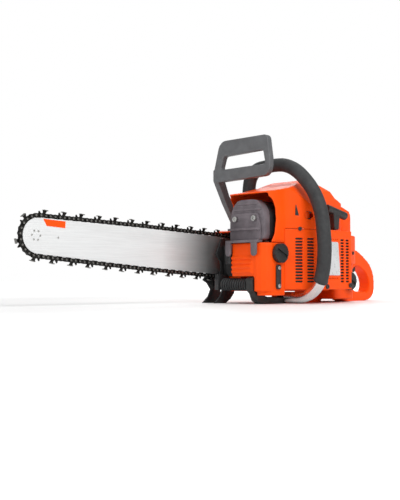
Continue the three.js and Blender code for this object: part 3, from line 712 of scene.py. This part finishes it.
class SAW_OT_chain(bpy.types.Operator):
    """The saw chain: drive links, tie straps, rivets and left and right cutters round the bar."""

    bl_idname = "saw.chain"
    bl_label = "Saw chain"

    def execute(self, context):
        sizes = context.scene.saw_sizes
        path = self.loop(sizes.rivet_rise)
        run = lengths_along(path)
        # Rounded down to whole patterns, so each link comes out a little longer than the pitch.
        links = PATTERN * int(run[-1] / sizes.pitch / PATTERN)
        step = run[-1] / links
        parts = self.patterns(step)
        meshes = {"links": bmesh.new(), "cutters": bmesh.new()}
        for i in range(links):
            here = point_at(path, run, i * step)
            ahead = point_at(path, run, ((i + 1) % links) * step)
            along = (ahead - here).normalized()
            outward = Vector((along.z, 0, -along.x))
            if outward.dot((here + ahead) / 2 - self.middle(here)) < 0:
                outward = -outward
            side = outward.cross(along)
            turn = Matrix((along, side, outward)).transposed().to_4x4()
            place = BAR_FRAME @ Matrix.Translation((here + ahead) / 2) @ turn
            cutter = "cutter_left" if i % PATTERN < PATTERN // 2 else "cutter_right"
            kind = ("drive", cutter, "drive", "strap")[i % 4]
            for group, part in parts[kind]:
                part.transform(place)
                meshes[group].from_mesh(part)
                part.transform(place.inverted())
        for group, mesh in meshes.items():
            data = bpy.data.meshes.new(f"saw_chain_{group}")
            mesh.to_mesh(data)
            mesh.free()
            piece = bpy.data.objects.new(data.name, data)
            context.collection.objects.link(piece)
            smooth_by_angle(piece, 30)
            if group == "links":
                dress(piece, "dark_steel", "engine", "saw_chain")
            else:
                dress(piece, "dark_steel", "engine", finish="chrome")
        return {"FINISHED"}

    def middle(self, point):
        """The nearest point of the bar's centreline, from which outwards is judged."""
        return Vector((min(0.0, max(point.x, -BAR_LENGTH)), 0, 0))

    def loop(self, rise):
        """The line through the chain's rivets, closed round the sprocket."""
        path = rail_points(rise)
        reach = SPROCKET_RADIUS + rise
        for i in range(17):
            angle = -math.pi * 0.56 + math.pi * 1.12 * i / 16
            path.append(Vector((reach * math.cos(angle), 0, reach * math.sin(angle))))
        path.append(path[0].copy())
        return path

    def patterns(self, pitch):
        """Meshes of each kind of link, centred between its rivets: along, across and outwards."""
        half = pitch / 2
        drive = plate("drive", [
            (-half - 2.9 * MM, 0), (-half - 1 * MM, 3.2 * MM), (half + 1 * MM, 3.2 * MM),
            (half + 2.9 * MM, 0), (half + 0.5 * MM, -3.6 * MM), (1.5 * MM, -8.2 * MM),
            (-1 * MM, -8.4 * MM), (-half, -3.6 * MM),
        ], -0.75 * MM, 0.75 * MM)
        strap_outline = [
            (-half - 3 * MM, 0), (-half - 2.1 * MM, 2.6 * MM), (-half, 3.5 * MM), (0, 2.7 * MM),
            (half, 3.5 * MM), (half + 2.1 * MM, 2.6 * MM), (half + 3 * MM, 0),
            (half + 2.1 * MM, -3 * MM), (-half - 2.1 * MM, -3 * MM),
        ]
        cutter_outline = [
            (-half - 2.1 * MM, -3 * MM), (-half - 2.8 * MM, 1 * MM), (-half - 0.9 * MM, 3.8 * MM),
            (-half - 3.6 * MM, 7.4 * MM), (-0.6 * MM, 8.4 * MM), (-0.9 * MM, 5.2 * MM),
            (0.6 * MM, 3.2 * MM), (2.4 * MM, 3 * MM), (half + 1.2 * MM, 7.2 * MM),
            (half + 2.6 * MM, 6.6 * MM), (half + 3.1 * MM, 1.4 * MM), (half + 2.1 * MM, -3 * MM),
        ]
        top_outline = [
            (-half - 3.6 * MM, 7.2 * MM), (-half - 3.6 * MM, 8.3 * MM), (-0.2 * MM, 9.2 * MM),
            (0.2 * MM, 8.2 * MM),
        ]
        kinds = {"drive": [("links", drive.data)], "strap": [], "cutter_left": [], "cutter_right": []}
        for side in (-1, 1):
            near, far = sorted((side * 0.8 * MM, side * 2.2 * MM))
            strap = plate("strap", strap_outline, near, far)
            rivets = [
                button_head("pin", (x, side * 2.2 * MM, 0), (0, side, 0), 1.8 * MM, 0.55 * MM, 10)
                for x in (-half, half)
            ]
            heads = [("cutters", rivet.data) for rivet in rivets]
            cutter = plate("cutter", cutter_outline, near, far)
            top = plate("top", top_outline, *sorted((-side * 2.9 * MM, side * 2.2 * MM)))
            own, other = ("left", "right") if side < 0 else ("right", "left")
            kinds["strap"] += [("links", strap.data), *heads]
            kinds[f"cutter_{own}"] += [("links", cutter.data), ("cutters", top.data), *heads]
            kinds[f"cutter_{other}"] += [("links", strap.data), *heads]
            for spent in (strap, cutter, top, *rivets):
                bpy.data.objects.remove(spent)
        bpy.data.objects.remove(drive)
        return kinds


# ---------------------------------------------------------------- handles, spring and rope

# Centreline of the front handle in millimetres, across the saw and up, from below round the left.
HANDLE_ROUTE = (
    (-34.5, 11), (-52, 11), (-75, 12.5), (-93, 21), (-107, 36), (-115, 62), (-118, 97),
    (-116, 127), (-112, 155), (-105, 177), (-94, 198), (-78, 218), (-55, 238), (-29, 249),
    (10, 250), (36, 246), (50, 232), (55, 212), (55.5, 180), (55.5, 152.5),
)

# Where the rubber sleeve starts and ends, as shares of the handle's length.
SLEEVE = (0.165, 0.985)


class SAW_OT_front_handle(bpy.types.Operator):
    """The bent aluminium handle tube and the rubber sleeve over its upper stretch."""

    bl_idname = "saw.front_handle"
    bl_label = "Front handle"

    def execute(self, context):
        sizes = context.scene.saw_sizes
        low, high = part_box("front_handle_tube")
        plane = (low[0] + high[0]) / 2
        route = through([Vector((plane, y * MM, z * MM)) for y, z in HANDLE_ROUTE])
        tube = tube_along("front_handle_skin", route, sizes.handle_radius, sides=8)
        dress(tube, "aluminium", "engine", "front_handle_tube", finish="tube")
        run = lengths_along(route)
        start, end = (share * run[-1] for share in SLEEVE)
        count = 150
        points, swell = [], []
        for i in range(count + 1):
            distance = start + (end - start) * i / count
            points.append(point_at(route, run, distance))
            edge = min(distance - start, end - distance)
            collar = 1.07 if edge < 7 * MM else 1.0
            swell.append(0.9 if edge < 0.5 * MM else collar)
        sleeve = tube_along("handle_grip_skin", points, sizes.grip_radius, swell, sides=8)
        dress(sleeve, "rubber", "engine", "handle_grip")
        return {"FINISHED"}


class SAW_OT_spring(bpy.types.Operator):
    """The front vibration spring: a coil round a rubber core, between its two seats."""

    bl_idname = "saw.spring"
    bl_label = "Front spring"

    def execute(self, context):
        sizes = context.scene.saw_sizes
        low, high = (Vector(corner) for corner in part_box("front_spring"))
        middle = (low + high) / 2
        wire = 1.9 * MM
        reach = sizes.spring_radius - wire
        steps = sizes.spring_turns * 20
        length = high.y - low.y - 2 * wire
        points = []
        for i in range(steps + 1):
            angle = 2 * math.pi * i / 20
            along = low.y + wire + length * i / steps
            x = middle.x + reach * math.cos(angle)
            z = middle.z + reach * math.sin(angle)
            points.append(Vector((x, along, z)))
        coil = tube_along("coil", points, wire, sides=3)
        foot = (middle.x, low.y, middle.z)
        core = button_head("core", foot, (0, 1, 0), reach - wire * 0.7, high.y - low.y, 24)
        piece = join("front_spring_skin", coil, core)
        smooth_by_angle(piece, 40)
        dress(piece, "rubber", "engine", "front_spring")
        return {"FINISHED"}


class SAW_OT_starter_rope(bpy.types.Operator):
    """The braided starter rope, which runs out between the cover and the grip when it is pulled."""

    bl_idname = "saw.starter_rope"
    bl_label = "Starter rope"

    def execute(self, context):
        low, high = (Vector(corner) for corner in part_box("starter_grip"))
        cover_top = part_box("starter_cover")[1][2]
        x, y = 34 * MM, (low.y + high.y) / 2
        foot = Vector((x, y, cover_top - 6 * MM))
        head = Vector((x, y, low.z + 8 * MM))
        points = [foot.lerp(head, i / 12) for i in range(13)]
        rope = tube_along("starter_rope_skin", points, 1.7 * MM, sides=4)
        dress(rope, "cord", None, "starter_rope")
        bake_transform(rope)
        bush = button_head("bush", (x, y, cover_top - 0.5 * MM), (0, 0, 1), 6.5 * MM, 1.6 * MM, 28)
        smooth_by_angle(bush)
        piece = join("rope_bush", bush)
        dress(piece, "black_plastic", "engine")
        return {"FINISHED"}


# ---------------------------------------------------------------- fixings and trim

class SAW_OT_fixings(bpy.types.Operator):
    """The strap's screws, black plates of painted shade behind the starter cover's slots and in the louvre,
    and the screws of the covers.
    """

    bl_idname = "saw.fixings"
    bl_label = "Fixings"

    def execute(self, context):
        low, high = (Vector(corner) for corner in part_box("side_strap"))
        middle = (low.x + high.x) / 2
        heads = []
        for z in (low.z + 5.5 * MM, high.z - 5.5 * MM):
            heads.append(self.screw((middle, low.y, z), (0, -1, 0), 3.7 * MM))
        piece = join("strap_screws", *heads)
        smooth_by_angle(piece)
        dress(piece, "steel", "engine")
        self.screens()
        self.louvre()
        self.cover_screws()
        return {"FINISHED"}

    def screens(self):
        """Two plain black plates behind the starter cover's slots: painted shade, standing for the dark
        inside of the cover seen through the slots.
        """
        low, high, end = 34 * MM, 121 * MM, 60 * MM
        flat, angled = (
            [(start, low), (end, low), (end, high), (start, high)] for start in (27 * MM, 20 * MM))
        side = plate("slot_shade_plate", flat, -92 * MM, -91.2 * MM)
        slant = plate("slot_shade_plate", angled, 3 * MM, 3.8 * MM)
        turn = Matrix.Rotation(-0.495, 4, "Z")
        slant.data.transform(Matrix.Translation((-85.7 * MM, -59.5 * MM, 0)) @ turn)
        piece = join("starter_slot_shade", side, slant)
        dress(piece, "black_plastic", "engine")

    def louvre(self):
        """A black plate of painted shade, sunk in the wedge-shaped louvre in the top cover's left wall,
        where it stands for the shade inside the recess.
        """
        shade_wedge = [(-3.6 * MM, 1 * MM), (3.4 * MM, 1 * MM), (-2.6 * MM, 23 * MM)]
        floor = plate("louvre_shade_plate", shade_wedge, 0.1 * MM, 1.9 * MM)
        turn = Matrix.Rotation(math.radians(-28), 4, "Z")
        floor.data.transform(Matrix.Translation((-65 * MM, -70.6 * MM, 154 * MM)) @ turn)
        dress(floor, "black_plastic", "engine")

    def cover_screws(self):
        """Dark recessed screws: on the seam of the top cover and on the tank's shoulder."""
        outward = Vector((-0.475, -0.88, 0))
        heads = [
            self.screw((-61 * MM, -73.2 * MM, 131.5 * MM), outward, 3.6 * MM),
            self.screw((84 * MM, -83.6 * MM, 92 * MM), (0.21, -0.978, 0), 3.2 * MM),
        ]
        piece = join("cover_screws", *heads)
        smooth_by_angle(piece)
        dress(piece, "black_steel", "engine")

    def screw(self, place, axis, radius):
        """A recessed screw: a rolled head with a round recess sunk into its top."""
        head = button_head("screw", place, axis, radius, radius * 0.62, 24)
        pick(head)
        bpy.ops.object.mode_set(mode="EDIT")
        bpy.ops.mesh.select_all(action="DESELECT")
        bpy.ops.object.mode_set(mode="OBJECT")
        top = max(head.data.polygons, key=lambda f: f.center.dot(Vector(axis)) + f.area)
        top.select = True
        bpy.ops.object.mode_set(mode="EDIT")
        bpy.ops.mesh.select_mode(type="FACE")
        bpy.ops.mesh.inset(thickness=radius * 0.28)
        push = [-component * radius * 0.35 for component in axis]
        bpy.ops.mesh.extrude_region_move(TRANSFORM_OT_translate={"value": push})
        bpy.ops.object.mode_set(mode="OBJECT")
        return head


# ---------------------------------------------------------------- stage

class SAW_OT_stage(bpy.types.Operator):
    """A pale floor, soft studio light and the camera."""

    bl_idname = "saw.stage"
    bl_label = "Stage"

    def execute(self, context):
        self.floor()
        self.lights(context)
        self.camera(context)
        return {"FINISHED"}

    def floor(self):
        deselect()
        bpy.ops.mesh.primitive_plane_add(size=40, location=(0, 0, 0))
        floor = bpy.context.object
        floor.name = "studio_floor"
        material, tree, shader, where = start_material("studio_floor", 0.0)
        base = linear(FLOOR_COLOUR)
        colour = ramp(tree, noise(tree, where, 0.5), shade(base, 0.99), base)
        finish_material(tree, shader, colour, ramp(tree, noise(tree, where, 0.3), grey(0.5), grey(0.6)))
        far = add_node(tree, "ShaderNodeVectorMath", {"operation": "LENGTH"}, {"Vector": where})
        reach = {"From Min": 0.6, "From Max": 2.5}
        glow = add_node(tree, "ShaderNodeMapRange", reach, {"Value": far.outputs["Value"]})
        shader.inputs["Emission Color"].default_value = linear("#ffffff")
        tree.links.new(glow.outputs["Result"], shader.inputs["Emission Strength"])
        floor.data.materials.append(material)

    def lights(self, context):
        world = bpy.data.worlds.new("studio")
        world.use_nodes = True
        tree = world.node_tree
        background = tree.nodes["Background"]
        background.inputs["Color"].default_value = linear("#ffffff")
        seen = add_node(tree, "ShaderNodeLightPath").outputs["Is Camera Ray"]
        strength = add_node(tree, "ShaderNodeMapRange", {"To Min": 0.42, "To Max": 1.0}, {"Value": seen})
        tree.links.new(strength.outputs["Result"], background.inputs["Strength"])
        context.scene.world = world
        target = Vector((-0.1, 0, 0.12))
        for name, place, size, power in (
            ("key", (-0.9, -2.4, 2.0), 1.5, 58),
            ("fill", (-2.6, 0.6, 1.2), 1.8, 11),
            ("top", (0.3, 0.2, 2.8), 2.0, 30),
            ("rear", (1.8, 1.6, 1.4), 1.2, 15),
        ):
            data = bpy.data.lights.new(name, "AREA")
            data.energy = power
            data.size = size
            light = bpy.data.objects.new(name, data)
            light.location = place
            light.rotation_euler = (target - light.location).to_track_quat("-Z", "Y").to_euler()
            context.collection.objects.link(light)

    def camera(self, context):
        context.scene.view_settings.view_transform = "Standard"
        data = bpy.data.cameras.new("camera")
        data.lens = 59.04
        data.sensor_width = 36
        camera = bpy.data.objects.new("camera", data)
        camera.location = (-1.1988, -0.9636, 0.040)
        camera.rotation_euler = (math.radians(92.165), 0, math.radians(-45))
        context.collection.objects.link(camera)
        context.scene.camera = camera


# ---------------------------------------------------------------- panel and registration

OPERATORS = (
    SAW_OT_stage, SAW_OT_inner, SAW_OT_shells, SAW_OT_castings, SAW_OT_guide_bar, SAW_OT_chain,
    SAW_OT_front_handle, SAW_OT_spring, SAW_OT_starter_rope, SAW_OT_fixings,
)


class SAW_PT_panel(bpy.types.Panel):
    """Lists the chainsaw's pieces in the sidebar."""

    bl_idname = "SAW_PT_panel"
    bl_label = "Chainsaw"
    bl_space_type = "VIEW_3D"
    bl_region_type = "UI"
    bl_category = "Chainsaw"

    def draw(self, context):
        for group in (context.scene.saw_sizes, context.scene.saw_colours):
            box = self.layout.box()
            for name in group.__annotations__:
                box.prop(group, name)
        for operator in OPERATORS:
            self.layout.operator(operator.bl_idname)


CLASSES = (SawSizes, SawColours, *OPERATORS, SAW_PT_panel)


def register():
    for cls in CLASSES:
        bpy.utils.register_class(cls)
    bpy.types.Scene.saw_sizes = bpy.props.PointerProperty(type=SawSizes)
    bpy.types.Scene.saw_colours = bpy.props.PointerProperty(type=SawColours)


def unregister():
    del bpy.types.Scene.saw_colours
    del bpy.types.Scene.saw_sizes
    for cls in reversed(CLASSES):
        bpy.utils.unregister_class(cls)


def main():
    """Builds every piece in order."""
    register()
    for operator in OPERATORS:
        group, name = operator.bl_idname.split(".")
        getattr(getattr(bpy.ops, group), name)()


if __name__ == "__main__":
    main()
